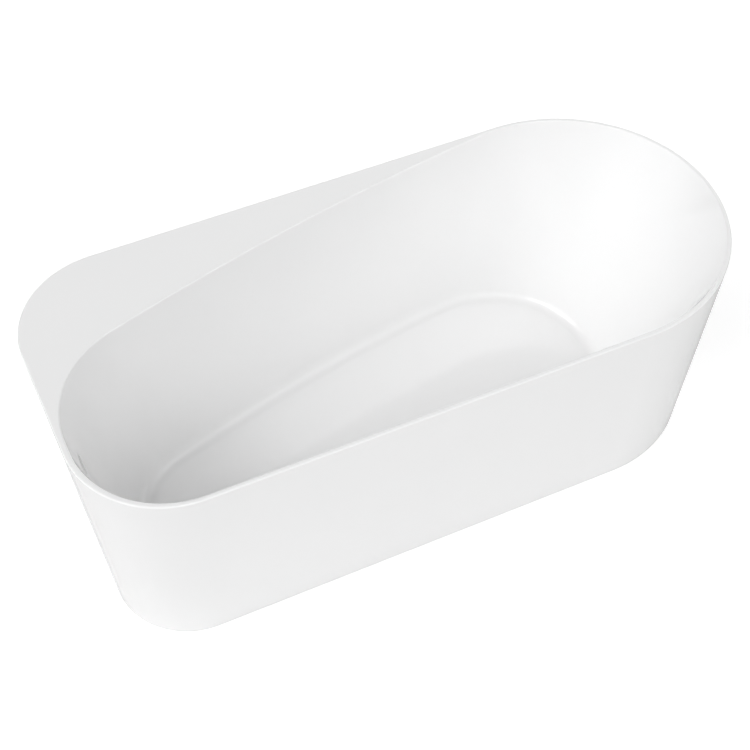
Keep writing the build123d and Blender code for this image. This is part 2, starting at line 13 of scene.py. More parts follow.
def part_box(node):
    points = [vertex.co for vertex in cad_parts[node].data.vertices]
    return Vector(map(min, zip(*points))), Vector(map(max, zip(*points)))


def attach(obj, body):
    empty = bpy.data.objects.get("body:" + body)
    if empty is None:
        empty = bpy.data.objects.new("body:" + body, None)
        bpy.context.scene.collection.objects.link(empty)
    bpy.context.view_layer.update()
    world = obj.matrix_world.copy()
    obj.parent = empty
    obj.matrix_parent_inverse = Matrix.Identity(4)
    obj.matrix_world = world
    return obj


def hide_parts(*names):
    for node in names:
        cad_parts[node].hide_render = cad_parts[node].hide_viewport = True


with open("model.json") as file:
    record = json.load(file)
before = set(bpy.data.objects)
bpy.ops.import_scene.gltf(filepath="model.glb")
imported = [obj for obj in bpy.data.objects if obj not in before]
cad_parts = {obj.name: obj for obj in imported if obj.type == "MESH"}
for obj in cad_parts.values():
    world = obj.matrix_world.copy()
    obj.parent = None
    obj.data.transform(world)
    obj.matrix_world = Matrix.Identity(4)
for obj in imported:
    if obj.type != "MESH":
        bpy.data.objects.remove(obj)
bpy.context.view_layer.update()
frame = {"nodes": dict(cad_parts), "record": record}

# ------------------------------------------------------------------ camera
CAMERA_AZIMUTH = -24.92
CAMERA_ELEVATION = 50.23
CAMERA_TARGET = Vector((-0.060, -0.0187, 0.300))
CAMERA_DISTANCE = 3.7728
CAMERA_LENS = 74.155
SENSOR_WIDTH = 36.0

# ------------------------------------------------------------------ light
# each glow: heading from +X, height above the floor, tightness, strength
GLOWS = (
    (-168, 41, 16.0, 1.54),
    (-36, 34, 28.0, 1.75),
    (50, 8, 22.0, 2.20),
    (-90, 30, 16.0, 1.18),
    (-100, 60, 24.0, 1.06),
    (150, 30, 24.0, 1.15),
)
# the panel: heading, lowest and highest height, half its width, strength
PANEL = (-177, (37, 51), 29, 3.5)
PANEL_EDGE = 0.01
# how much of a direction points to the panel's side of the room, so it has no twin behind
PANEL_SIDE = (0.05, 1.95)
WHITE = (1.0, 1.0, 1.0, 1.0)
FLOOR_REACH = 60.0
FLOOR_ROUGHNESS = 0.9
# light that the floor gives off for the camera alone, which whitens the shadows on it
FLOOR_LIFT = 0.42

# ------------------------------------------------------------------ form of the bath
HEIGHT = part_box("basin_shell")[1].z
JOINT_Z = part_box("apron_shell")[1].z
APRON_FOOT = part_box("apron_shell")[0].z
LENGTH = 1.700
WIDTH = 0.775
LEAN = 0.048
CORNER_R = 0.236
SKIN = 0.0045
RIM_ROUND = 0.004
APRON_FOOT_ROUND = 0.0015
RETURN_WIDTH = 0.022
BASIN_FLOOR = 0.136
DEPTH = HEIGHT - BASIN_FLOOR
FLOOR_FILLET = 0.040
# the basin's circles in plan: each pair is the value at the rim and the one at the floor
HEAD_X = (0.4625, 0.276)
HEAD_Y = (0.0, -0.020)
HEAD_R = (0.376, 0.272)
BACK_R = (6.500, 4.840)
FOOT_BACK_R = (0.270, 0.235)
FOOT_FRONT_R = (0.225, 0.130)
# the headings between which the back's long arc runs
BACK_HEADINGS = (97.73, 107.29)
# the drain and the dish around it
DRAIN = np.array((-0.590, -0.130))
DISH_R = 0.062
DISH_FLAT_R = 0.042
DISH_DROP = 0.003
DRAIN_HOLE_R = 0.025
# the overflow and its trim
OVERFLOW_Y = -0.130
OVERFLOW_Z = 0.495
SLOT_LENGTH = 0.062
SLOT_HEIGHT = 0.009
TRIM_EDGE = 0.0025
TRIM_WALL = 0.002
TRIM_RISE = 0.001
TRIM_ROUND = 0.001
TRIM_PLAY = 0.0001
TRIM_BEHIND = 0.004
# the stretch along X in which the overflow's slot is cut out of the drain-end wall
CUT_X = (-0.840, -0.780)
# the plug's cap: its edge is rounded over by a turn in degrees, and its dome ends in a small flat
PLUG_R = 0.031
PLUG_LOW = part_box("plug_cap")[0].z
PLUG_EDGE = 0.0016
PLUG_ROUND = 0.0007
PLUG_TURN = 80
PLUG_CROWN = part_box("plug_cap")[1].z
PLUG_TIP_R = 0.0004
STEM_SOCKET_R = 0.0041
STEM_SOCKET_DEPTH = 0.001
# a foot's stud, from the ball in its pad through the hexagon that turns it to its threaded top
STUD_R = 0.006
STUD_TIP = 0.0012
THREAD_PITCH = 0.00175
THREAD_DEPTH = 0.0006
THREAD_FOOT = 0.0265
THREAD_STEPS = 6
BALL_Z = 0.009
BALL_TURNS = (-85, 41)
NECK_R = 0.0045
NECK_Z = (0.0135, 0.0205)
TURNER_R = 0.0080
TURNER_Z = (0.0200, 0.0270)
TURNER_EDGE_R = 0.0066
TURNER_EDGE = 0.0007
# the overflow's hose, from its elbow down to the drain's collar
HOSE_ROUTE = (
    (-0.8195, -0.130, 0.452),
    (-0.8195, -0.130, 0.402),
    (-0.803, -0.130, 0.330),
    (-0.780, -0.130, 0.205),
    (-0.722, -0.130, 0.102),
    (-0.627, -0.130, 0.102),
)
HOSE_R = 0.012
HOSE_BORE = 0.0095
HOSE_CUFF = 0.024
HOSE_PITCH = 0.005
HOSE_WAVE = 0.0011
# steps along the hose: in one wave outside, and from ring to ring of its plain bore
WAVE_STEPS = 6
BORE_STEPS = 12
HOSE_COLUMNS = 28

# samples along the six stretches of an outline: front, head, back, foot, end, front corner
STRETCHES = (72, 132, 96, 66, 18, 60)


# ------------------------------------------------------------------ plan outlines
def heading(angles):
    """Unit vectors in plan for headings in degrees."""
    turn = np.radians(angles)
    return np.stack([np.cos(turn), np.sin(turn)], axis=-1)


def arc(centre, radius, start, end, count):
    """Points and outward directions along an arc, without its last point."""
    out = heading(np.linspace(start, end, count, endpoint=False))
    return np.asarray(centre) + radius * out, out


def line(start, end, out, count):
    """Points and their outward direction along a straight stretch, without its last point."""
    share = np.linspace(0, 1, count, endpoint=False)[:, None]
    start = np.asarray(start, float)
    points = start + share * (np.asarray(end, float) - start)
    return points, np.tile(np.asarray(out, float), (count, 1))


def joined(stretches):
    """One closed outline from its stretches."""
    return tuple(np.concatenate(part) for part in zip(*stretches))


def blend(pair, share):
    """A value between its rim size (share 0) and its floor size (share 1)."""
    return pair[0] + (pair[1] - pair[0]) * share


def outer_outline():
    """The bath's outside in plan at rim height, and its outward directions."""
    half = WIDTH / 2
    left = -LENGTH / 2
    end_x = (LENGTH - WIDTH) / 2
    corner = (left + CORNER_R, half - CORNER_R)
    low_corner = (corner[0], -corner[1])
    return joined([
        line((corner[0], -half), (end_x, -half), (0, -1), STRETCHES[0]),
        arc((end_x, 0), half, -90, 90, STRETCHES[1]),
        line((end_x, half), (corner[0], half), (0, 1), STRETCHES[2]),
        arc(corner, CORNER_R, 90, 180, STRETCHES[3]),
        line((left, corner[1]), (left, -corner[1]), (-1, 0), STRETCHES[4]),
        arc(low_corner, CORNER_R, 180, 270, STRETCHES[5]),
    ])


def basin_circles(share):
    """Centres and radii of the basin's four circles at a share of its depth."""
    head = np.array((blend(HEAD_X, share), blend(HEAD_Y, share)))
    head_r = blend(HEAD_R, share)
    back_r = blend(BACK_R, share)
    foot_r = blend(FOOT_BACK_R, share)
    front_r = blend(FOOT_FRONT_R, share)
    back = head - (back_r - head_r) * heading(BACK_HEADINGS[0])
    foot = back + (back_r - foot_r) * heading(BACK_HEADINGS[1])
    corner = np.array((foot[0] - foot_r + front_r, head[1] - head_r + front_r))
    return (head, head_r), (back, back_r), (foot, foot_r), (corner, front_r)


def basin_outline(share):
    """The basin's wall in plan at a share of its depth, and its outward directions."""
    (head, head_r), (back, back_r), (foot, foot_r), (corner, front_r) = basin_circles(share)
    start, end = BACK_HEADINGS
    front = head[1] - head_r
    left = foot[0] - foot_r
    return joined([
        line((corner[0], front), (head[0], front), (0, -1), STRETCHES[0]),
        arc(head, head_r, -90, start, STRETCHES[1]),
        arc(back, back_r, start, end, STRETCHES[2]),
        arc(foot, foot_r, end, 180, STRETCHES[3]),
        line((left, foot[1]), (left, corner[1]), (-1, 0), STRETCHES[4]),
        arc(corner, front_r, 180, 270, STRETCHES[5]),
    ])


OUTER, OUTER_OUT = outer_outline()
BASIN_RIM, BASIN_OUT = basin_outline(0)
BASIN_FOOT = basin_outline(1)[0]
UP = np.array((0.0, 0.0, 1.0))


# ------------------------------------------------------------------ rings of the two shells
def lifted(plan, z):
    """Plan points at a height, which may be one number or one for each point."""
    return np.concatenate([plan, np.broadcast_to(z, len(plan))[:, None]], axis=1)


def unit(vectors):
    """The same directions, one long."""
    return vectors / np.linalg.norm(vectors, axis=-1, keepdims=True)


def turned(first, last, share):
    """Directions between two sets of unit vectors, turned evenly."""
    cosine = np.clip((first * last).sum(axis=-1, keepdims=True), -1, 1)
    angle = np.arccos(cosine)
    return (np.sin((1 - share) * angle) * first + np.sin(share * angle) * last) / np.sin(angle)


def basin_wall(z, grow=0.0):
    """The basin's wall at height z, moved out by grow."""
    share = ((HEIGHT - np.broadcast_to(z, len(BASIN_RIM))) / DEPTH)[:, None]
    plan = BASIN_RIM + (BASIN_FOOT - BASIN_RIM) * share + grow * BASIN_OUT
    return lifted(plan, z)


def wall_normals():
    """Unit normals of the basin's wall, towards the bather."""
    slope = ((BASIN_RIM - BASIN_FOOT) * BASIN_OUT).sum(axis=1) / DEPTH
    return unit(lifted(-BASIN_OUT, slope))


def apron_face(z, inset=0.0):
    """The leaning outside at height z, moved in by inset."""
    shift = LEAN * (HEIGHT - np.broadcast_to(z, len(OUTER))) / HEIGHT + inset
    return lifted(OUTER - OUTER_OUT * shift[:, None], z)


def apron_normals():
    """Unit normals of the leaning outside."""
    return unit(lifted(OUTER_OUT, -LEAN / HEIGHT))


def shares(count, ends=True):
    """Evenly spaced shares from 0 to 1, with or without the two ends."""
    steps = np.linspace(0, 1, count)
    return steps if ends else steps[1:-1]


def between(first, last, normals, count):
    """Rings strictly between two rings, all with the same normals."""
    return [(first + (last - first) * share, normals) for share in shares(count + 2, ends=False)]


def rounding(centre, radius, first, last, count):
    """Rings round an edge, its ball's centre on one line and its normals turning."""
    rings = []
    for share in shares(count):
        direction = turned(first, last, share)
        rings.append((centre + radius * direction, direction))
    return rings


def floor_fillet(bottom, grow, radius, count):
    """Rings round the corner between the floor and the wall, from the floor up."""
    inward = wall_normals()
    touch_z = bottom + radius * (1 - inward[:, 2])
    centre = basin_wall(touch_z, grow) + radius * inward
    rings = []
    for share in shares(count):
        direction = turned(np.tile(UP, (len(inward), 1)), inward, share)
        rings.append((centre - radius * direction, direction))
    return rings


def drain_rays(edge):
    """Directions in plan from the drain to an edge around it."""
    return unit(edge[:, :2] - DRAIN)


def dish_rings(rays, top, side, count):
    """Rings of the dish around the drain hole, from the hole out; side 1 faces up, -1 down."""
    up = np.tile(UP, (len(rays), 1)) * side
    low = top - DISH_DROP
    rings = [(lifted(DRAIN + DRAIN_HOLE_R * rays, low), up)]
    for share in shares(count):
        radius = DISH_FLAT_R + (DISH_R - DISH_FLAT_R) * share
        z = low + DISH_DROP * share * share * (3 - 2 * share)
        slope = DISH_DROP * 6 * share * (1 - share) / (DISH_R - DISH_FLAT_R)
        rings.append((lifted(DRAIN + radius * rays, z), unit(lifted(-slope * rays, 1.0)) * side))
    return rings


def basin_rings():
    """The inner shell's section, from the drain up the inside, over the rim and back underneath."""
    inward = wall_normals()
    outward = apron_normals()
    up = np.tile(UP, (len(inward), 1))
    fillet = floor_fillet(BASIN_FLOOR, 0.0, FLOOR_FILLET, count=18)
    rays = drain_rays(fillet[0][0])
    rings = dish_rings(rays, BASIN_FLOOR, side=1, count=9)
    rings += between(rings[-1][0], fillet[0][0], up, count=14) + fillet
    top_z = HEIGHT - RIM_ROUND + RIM_ROUND * inward[:, 2]
    centre = basin_wall(top_z) - RIM_ROUND * inward
    rim = rounding(centre, RIM_ROUND, inward, up, count=7)
    rings += between(fillet[-1][0], rim[0][0], inward, count=34) + rim
    edge_z = HEIGHT - RIM_ROUND + RIM_ROUND * outward[:, 2]
    centre = apron_face(edge_z) - RIM_ROUND * outward
    edge = rounding(centre, RIM_ROUND, up, outward, count=7)
    rings += between(rim[-1][0], edge[0][0], up, count=12) + edge
    rings.append((apron_face(JOINT_Z), outward))
    rings.append((apron_face(JOINT_Z, SKIN), -outward))
    rings.append((apron_face(HEIGHT - SKIN, SKIN), -outward))
    under = floor_fillet(BASIN_FLOOR - SKIN, SKIN, FLOOR_FILLET + SKIN, count=9)
    under = [(points, -normals) for points, normals in reversed(under)]
    back_top = basin_wall(HEIGHT - SKIN, SKIN)
    rings += [(back_top, -inward)] + between(back_top, under[0][0], -inward, count=12) + under
    dish = dish_rings(rays, BASIN_FLOOR - SKIN, side=-1, count=5)
    return rings + between(under[-1][0], dish[-1][0], -up, count=4) + dish[::-1]


def apron_rings():
    """The outer skin's section, down the outside, round its foot and up the inside."""
    outward = apron_normals()
    up = np.tile(UP, (len(outward), 1))
    top = apron_face(JOINT_Z)
    centre = apron_face(APRON_FOOT + APRON_FOOT_ROUND) - APRON_FOOT_ROUND * outward
    foot = rounding(centre, APRON_FOOT_ROUND, outward, -up, count=5)
    rings = [(top, outward)] + between(top, foot[0][0], outward, count=40) + foot
    flange = SKIN + RETURN_WIDTH
    rings.append((apron_face(APRON_FOOT, flange), -up))
    rings.append((apron_face(APRON_FOOT + SKIN, flange), -outward))
    rings.append((apron_face(APRON_FOOT + SKIN, SKIN), up))
    inner_top = apron_face(JOINT_Z, SKIN)
    rings += between(rings[-1][0], inner_top, -outward, count=10)
    return rings + [(inner_top, -outward)]


# ------------------------------------------------------------------ meshes
def link(name, mesh):
    """A new object in the scene."""
    piece = bpy.data.objects.new(name, mesh)
    bpy.context.scene.collection.objects.link(piece)
    return piece


def mesh_from(name, points, faces):
    """A smooth-shaded mesh from points and faces."""
    mesh = bpy.data.meshes.new(name)
    mesh.from_pydata([tuple(p) for p in points], [], faces)
    mesh.update()
    mesh.polygons.foreach_set("use_smooth", np.ones(len(mesh.polygons), bool))
    return mesh


def ring_faces(rows, columns, wrap_rows):
    """Quads over rows of points that close on themselves."""
    faces = []
    for row in range(rows if wrap_rows else rows - 1):
        start = row * columns
        after = ((row + 1) % rows) * columns
        for i in range(columns):
            j = (i + 1) % columns
            faces.append((start + i, start + j, after + j, after + i))
    return faces


def shade_from(mesh, normal_at, sharpest=0.80):
    """Gives each face corner the form's own normal, or the face's where an edge is sharp."""
    corners = [None] * len(mesh.loops)
    normals = [normal_at(v.co) for v in mesh.vertices]
    for face in mesh.polygons:
        for loop in face.loop_indices:
            normal = normals[mesh.loops[loop].vertex_index]
            corners[loop] = normal if normal.dot(face.normal) > sharpest else face.normal
    mesh.normals_split_custom_set([tuple(normal) for normal in corners])


def ringed_piece(name, rings):
    """A closed shell from its section's rings, and its points and their normals."""
    points = np.concatenate([ring for ring, _ in rings])
    normals = np.concatenate([ring for _, ring in rings])
    columns = len(rings[0][0])
    mesh = mesh_from(name, points, ring_faces(len(rings), columns, wrap_rows=True))
    piece = link(name, mesh)
    return piece, points, normals


def tidied(mesh, sharp_angle):
    """Turns all faces outwards and keeps edges sharp above an angle in degrees."""
    work = bmesh.new()
    work.from_mesh(mesh)
    bmesh.ops.recalc_face_normals(work, faces=work.faces)
    work.to_mesh(mesh)
    work.free()
    mesh.set_sharp_from_angle(angle=math.radians(sharp_angle))


def looped_piece(name, rings, sharp_angle):
    """A closed shell whose last ring joins its first."""
    points = np.concatenate([np.asarray(ring) for ring in rings])
    columns = len(rings[0])
    mesh = mesh_from(name, points, ring_faces(len(rings), columns, wrap_rows=True))
    tidied(mesh, sharp_angle)
    return link(name, mesh)


def capped_piece(name, shells, sharp_angle):
    """Closed shells in one piece, each of rings with a flat cap on both ends."""
    points = []
    faces = []
    for shell in shells:
        first = len(points)
        columns = len(shell[0])
        last = first + (len(shell) - 1) * columns
        for face in ring_faces(len(shell), columns, wrap_rows=False):
            faces.append(tuple(first + corner for corner in face))
        faces.append(tuple(range(first + columns - 1, first - 1, -1)))
        faces.append(tuple(range(last, last + columns)))
        points += [tuple(point) for ring in shell for point in ring]
    mesh = mesh_from(name, points, faces)
    tidied(mesh, sharp_angle)
    return link(name, mesh)


def turned_rings(profile, centre, columns):
    """Rings of a body of revolution from its radii and heights."""
    around = heading(np.linspace(0, 360, columns, endpoint=False))
    return [lifted(np.array(centre) + radius * around, z) for radius, z in profile]


def nearest_normal(points, normals):
    """A function that gives the normal stored with the nearest of some points."""
    tree = KDTree(len(points))
    for index, point in enumerate(points):
        tree.insert(point, index)
    tree.balance()
    return lambda place: Vector(normals[tree.find(place)[1]])


# ------------------------------------------------------------------ materials
# noise seldom leaves this range, so colours change inside it
TINT_RANGE = (0.3, 0.7)


def new_material(name):
    """A material with its nodes, its links and its shader."""
    material = bpy.data.materials.new(name)
    material.use_nodes = True
    nodes = material.node_tree.nodes
    return material, nodes, material.node_tree.links, nodes["Principled BSDF"]


def noise(nodes, links, scale, detail):
    """Noise in the piece's own coordinates."""
    place = nodes.new("ShaderNodeTexCoord")
    texture = nodes.new("ShaderNodeTexNoise")
    texture.inputs["Scale"].default_value = scale
    texture.inputs["Detail"].default_value = detail
    links.new(place.outputs["Object"], texture.inputs["Vector"])
    return texture.outputs["Fac"]


def spread(nodes, links, source, low, high):
    """Maps a 0 to 1 value onto a range."""
    node = nodes.new("ShaderNodeMapRange")
    node.inputs["To Min"].default_value = low
    node.inputs["To Max"].default_value = high
    links.new(source, node.inputs["Value"])
    return node.outputs["Result"]


def tinted(nodes, links, source, dark, light):
    """Turns a 0 to 1 value into a colour that changes over the middle of its range."""
    node = nodes.new("ShaderNodeValToRGB")
    for element, place, colour in zip(node.color_ramp.elements, TINT_RANGE, (dark, light)):
        element.position = place
        element.color = (*colour, 1)
    links.new(source, node.inputs["Fac"])
    return node.outputs["Color"]


def bumped(nodes, links, source, shader, strength, distance):
    """Gives a shader small waves from a 0 to 1 value."""
    node = nodes.new("ShaderNodeBump")
    node.inputs["Strength"].default_value = strength
    node.inputs["Distance"].default_value = distance
    links.new(source, node.inputs["Height"])
    links.new(node.outputs["Normal"], shader.inputs["Normal"])


def sanitary_acrylic():
    """Polished white acrylic: a barely clouded white, a mirror gloss, very long shallow waves."""
    material, nodes, links, shader = new_material("finish_sanitary_acrylic")
    cloud = noise(nodes, links, scale=3.0, detail=2.0)
    colour = tinted(nodes, links, cloud, dark=(0.946, 0.947, 0.948), light=(0.955, 0.955, 0.955))
    links.new(colour, shader.inputs["Base Color"])
    haze = noise(nodes, links, scale=14.0, detail=4.0)
    links.new(spread(nodes, links, haze, low=0.02, high=0.05), shader.inputs["Roughness"])
    waves = noise(nodes, links, scale=9.0, detail=1.0)
    bumped(nodes, links, waves, shader, strength=0.02, distance=0.001)
    shader.inputs["IOR"].default_value = 1.60
    return material


# slot: dark colour, light colour, metallic, roughness range, pattern scale, bump depth
FINISHES = {
    "laminate": ((0.60, 0.57, 0.47), (0.74, 0.71, 0.61), 0, (0.55, 0.80), 60, 0.0008),
    "timber_board": ((0.42, 0.29, 0.17), (0.66, 0.50, 0.33), 0, (0.70, 0.90), 90, 0.0004),
    "frame_steel": ((0.36, 0.37, 0.38), (0.40, 0.41, 0.42), 0, (0.40, 0.50), 900, 0.0001),
    "zinc_steel": ((0.58, 0.60, 0.62), (0.72, 0.73, 0.74), 1, (0.25, 0.42), 140, 0.00003),
    "foot_plastic": ((0.018, 0.018, 0.02), (0.03, 0.03, 0.032), 0, (0.45, 0.60), 500, 0.0001),
    "chrome": ((0.80, 0.80, 0.81), (0.86, 0.86, 0.87), 1, (0.05, 0.10), 30, 0.00001),
    "brass": ((0.70, 0.50, 0.22), (0.80, 0.61, 0.32), 1, (0.20, 0.32), 200, 0.00002),
    "rubber": ((0.020, 0.020, 0.020), (0.032, 0.032, 0.032), 0, (0.70, 0.85), 300, 0.0001),
    "hose_plastic": ((0.62, 0.63, 0.63), (0.70, 0.71, 0.71), 0, (0.35, 0.48), 80, 0.00005),
    "fitting_plastic": ((0.78, 0.78, 0.76), (0.84, 0.84, 0.82), 0, (0.28, 0.40), 120, 0.00004),
    "trim_plastic": ((0.92, 0.92, 0.92), (0.935, 0.935, 0.935), 0, (0.07, 0.12), 40, 0.00001),
}


def plain_finish(slot_name):
    """A finish with a fine mottle in its colour, gloss and surface."""
    dark, light, metallic, gloss, scale, depth = FINISHES[slot_name]
    material, nodes, links, shader = new_material("finish_" + slot_name)
    mottle = noise(nodes, links, scale, detail=3.0)
    links.new(tinted(nodes, links, mottle, dark, light), shader.inputs["Base Color"])
    links.new(spread(nodes, links, mottle, *gloss), shader.inputs["Roughness"])
    bumped(nodes, links, mottle, shader, strength=0.5, distance=depth)
    shader.inputs["Metallic"].default_value = metallic
    return material


def finish_frame(materials):
    """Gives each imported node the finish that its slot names."""
    for part in frame["record"]["subparts"]:
        mesh = frame["nodes"][part["node"]].data
        mesh.materials.clear()
        mesh.materials.append(materials[part["material_slot"]])


def finish(piece, material):
    """Puts a material on a piece."""
    piece.data.materials.clear()
    piece.data.materials.append(material)
    return piece


# ------------------------------------------------------------------ shells as pieces
def drain_end_normal(place):
    """Normal of the basin's wall at the drain end, for points that a cut has added."""
    circles = basin_circles((HEIGHT - place[2]) / DEPTH)
    foot = circles[2][0]
    corner = circles[3][0]
    number = 2 if place[1] > foot[1] else 3
    out = np.array((-1.0, 0.0))
    if not corner[1] <= place[1] <= foot[1]:
        out = unit(np.array(place[:2]) - circles[number][0])
    rim_centre, rim_r = basin_circles(0)[number]
    floor_centre, floor_r = basin_circles(1)[number]
    slope = ((rim_centre - floor_centre) @ out + rim_r - floor_r) / DEPTH
    return unit(np.array((-out[0], -out[1], slope)))


def drain_end_wall(y, z, rise=0.0):
    """A point on the basin's wall at the drain end, raised off it by rise."""
    foot, foot_r = basin_circles((HEIGHT - z) / DEPTH)[2]
    corner, front_r = basin_circles((HEIGHT - z) / DEPTH)[3]
    x = foot[0] - foot_r
    if y > foot[1]:
        x = foot[0] - math.sqrt(foot_r**2 - (y - foot[1]) ** 2)
    if y < corner[1]:
        x = corner[0] - math.sqrt(front_r**2 - (y - corner[1]) ** 2)
    place = np.array((x, y, z))
    return place + rise * drain_end_normal(place)


def slot_outline(length, height, count):
    """Points round a slot, count at each round end, as shifts along Y and Z from its middle."""
    radius = height / 2
    reach = length / 2 - radius
    turns = np.linspace(-90, 90, count)
    right = heading(turns) * radius + (reach, 0)
    left = heading(turns + 180) * radius - (reach, 0)
    return np.concatenate([right, left])


def cut_overflow(piece):
    """Cuts the overflow's slot through the wall."""
    outline = slot_outline(SLOT_LENGTH, SLOT_HEIGHT, count=17)
    rings = []
    for x in CUT_X:
        rings.append([(x, OVERFLOW_Y + y, OVERFLOW_Z + z) for y, z in outline])
    cutter = capped_piece("overflow_cutter", [rings], sharp_angle=30)
    cut = piece.modifiers.new("overflow", "BOOLEAN")
    cut.operation = "DIFFERENCE"
    cut.solver = "EXACT"
    cut.object = cutter
    depsgraph = bpy.context.evaluated_depsgraph_get()
    piece.data = bpy.data.meshes.new_from_object(piece.evaluated_get(depsgraph))
    piece.modifiers.clear()
    bpy.data.objects.remove(cutter)


def beside_overflow(place):
    """Whether a point is on the wall close to the slot, where the cut has changed the mesh."""
    near_y = abs(place[1] - OVERFLOW_Y) < SLOT_LENGTH
    near_z = abs(place[2] - OVERFLOW_Z) < 2 * SLOT_HEIGHT
    return near_y and near_z and place[0] < CUT_X[1]


def make_basin(material):
    """The basin with its deck and rim, cut through for the overflow."""
    piece, points, normals = ringed_piece("basin_body", basin_rings())
    cut_overflow(piece)
    ring_normal = nearest_normal(points, normals)

    def normal_at(place):
        if beside_overflow(place):
            return Vector(drain_end_normal(place))
        return ring_normal(place)

    shade_from(piece.data, normal_at)
    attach(piece, "tub")
    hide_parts("basin_shell")
    return finish(piece, material)


def make_apron(material):
    """The outer skin."""
    piece, points, normals = ringed_piece("apron_body", apron_rings())
    shade_from(piece.data, nearest_normal(points, normals))
    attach(piece, "tub")
    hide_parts("apron_shell")
    return finish(piece, material)


# ------------------------------------------------------------------ fittings as pieces
def make_trim(material):
    """The overflow's trim: a sleeve through the wall with a softly rounded face."""
    way_height = SLOT_HEIGHT - 2 * TRIM_WALL
    way_length = SLOT_LENGTH - 2 * TRIM_WALL
    sleeve = TRIM_WALL - TRIM_PLAY
    face = TRIM_WALL + TRIM_EDGE
    back = -SKIN - TRIM_BEHIND
    # how far each ring lies outside the way through, and how far in front of the wall
    section = [
        (0.0, back),
        (0.0, -0.4 * TRIM_ROUND),
        (0.3 * TRIM_ROUND, 0.7 * TRIM_RISE),
        (0.9 * TRIM_ROUND, TRIM_RISE),
        (face - TRIM_ROUND, TRIM_RISE),
        (face - 0.3 * TRIM_ROUND, 0.7 * TRIM_RISE),
        (face, TRIM_PLAY),
        (sleeve, TRIM_PLAY),
        (sleeve, back),
    ]
    rings = []
    for grow, rise in section:
        outline = slot_outline(way_length + 2 * grow, way_height + 2 * grow, count=25)
        rings.append([drain_end_wall(OVERFLOW_Y + y, OVERFLOW_Z + z, rise) for y, z in outline])
    piece = looped_piece("overflow_face", rings, sharp_angle=40)
    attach(piece, "tub")
    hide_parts("overflow_trim")
    return finish(piece, material)


def make_plug(material):
    """The drain's cap, a low dome with a rounded edge."""
    rise = PLUG_CROWN - PLUG_LOW - PLUG_EDGE
    sphere_r = (PLUG_R**2 + rise**2) / (2 * rise)
    profile = [
        (STEM_SOCKET_R, PLUG_LOW + STEM_SOCKET_DEPTH),
        (STEM_SOCKET_R, PLUG_LOW),
        (PLUG_R - PLUG_ROUND, PLUG_LOW),
        (PLUG_R, PLUG_LOW + PLUG_ROUND),
    ]
    for turn in np.radians(PLUG_TURN * shares(7)):
        inward = PLUG_ROUND * (1 - math.cos(turn))
        low = PLUG_ROUND * (1 - math.sin(turn))
        profile.append((PLUG_R - inward, PLUG_LOW + PLUG_EDGE - low))
    for share in shares(12)[1:]:
        radius = (PLUG_R - PLUG_ROUND) * (1 - share) + PLUG_TIP_R * share
        drop = sphere_r - math.sqrt(sphere_r**2 - radius**2)
        profile.append((radius, PLUG_CROWN - drop))
    rings = turned_rings(profile, DRAIN, columns=72)
    piece = capped_piece("plug_dome", [rings], sharp_angle=35)
    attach(piece, "plug")
    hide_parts("plug_cap")
    return finish(piece, material)


def thread_rings(place, low, high, columns):
    """Rings up a threaded rod; the thread climbs one pitch in a turn."""
    rows = int((high - low) / THREAD_PITCH * THREAD_STEPS)
    turns = np.linspace(0, 1, columns, endpoint=False)
    around = heading(360 * turns)
    rings = []
    for row in range(rows + 1):
        z = low + (high - low) * row / rows
        phase = (z / THREAD_PITCH - turns) % 1
        radius = STUD_R - THREAD_DEPTH * np.abs(2 * phase - 1)
        radius = radius - max(0.0, STUD_TIP - (high - z))
        rings.append(lifted(np.array(place) + around * radius[:, None], z))
    return rings


def make_stud(number, material):
    """A foot's threaded stud, with a ball below for the pad and a hexagon to turn it."""
    box_low, box_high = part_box(f"foot_stud_{number}")
    place = ((box_low.x + box_high.x) / 2, (box_low.y + box_high.y) / 2)
    ball = []
    for turn in np.radians(np.linspace(*BALL_TURNS, 12)):
        ball.append((STUD_R * math.cos(turn), BALL_Z + STUD_R * math.sin(turn)))
    ball += [(NECK_R, z) for z in NECK_Z]
    low, high = TURNER_Z
    turner = [
        (TURNER_EDGE_R, low),
        (TURNER_R, low + TURNER_EDGE),
        (TURNER_R, high - TURNER_EDGE),
        (TURNER_EDGE_R, high),
    ]
    shells = [
        turned_rings(ball, place, columns=24),
        turned_rings(turner, place, columns=6),
        thread_rings(place, THREAD_FOOT, box_high.z, columns=24),
    ]
    piece = capped_piece(f"foot_screw_{number}", shells, sharp_angle=35)
    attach(piece, f"stud_{number}")
    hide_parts(f"foot_stud_{number}")
    return finish(piece, material)


def spline_points(route):
    """Points of the smooth line that a route's points control."""
    curve = bpy.data.curves.new("route", "CURVE")
    curve.dimensions = "3D"
    spline = curve.splines.new("NURBS")
    spline.points.add(len(route) - 1)
    for point, place in zip(spline.points, route):
        point.co = (*place, 1.0)
    spline.order_u = 3
    spline.use_endpoint_u = True
    spline.resolution_u = 64
    holder = bpy.data.objects.new("route", curve)
    mesh = bpy.data.meshes.new_from_object(holder)
    points = np.array([vertex.co for vertex in mesh.vertices])
    bpy.data.objects.remove(holder)
    return points


def evenly(points, step):
    """The same line in even steps: its places, directions and distances along it."""
    lengths = np.linalg.norm(np.diff(points, axis=0), axis=1)
    far = np.concatenate([[0], np.cumsum(lengths)])
    along = np.linspace(0, far[-1], round(far[-1] / step) + 1)
    places = np.stack([np.interp(along, far, points[:, axis]) for axis in range(3)], axis=-1)
    return places, unit(np.gradient(places, axis=0)), along


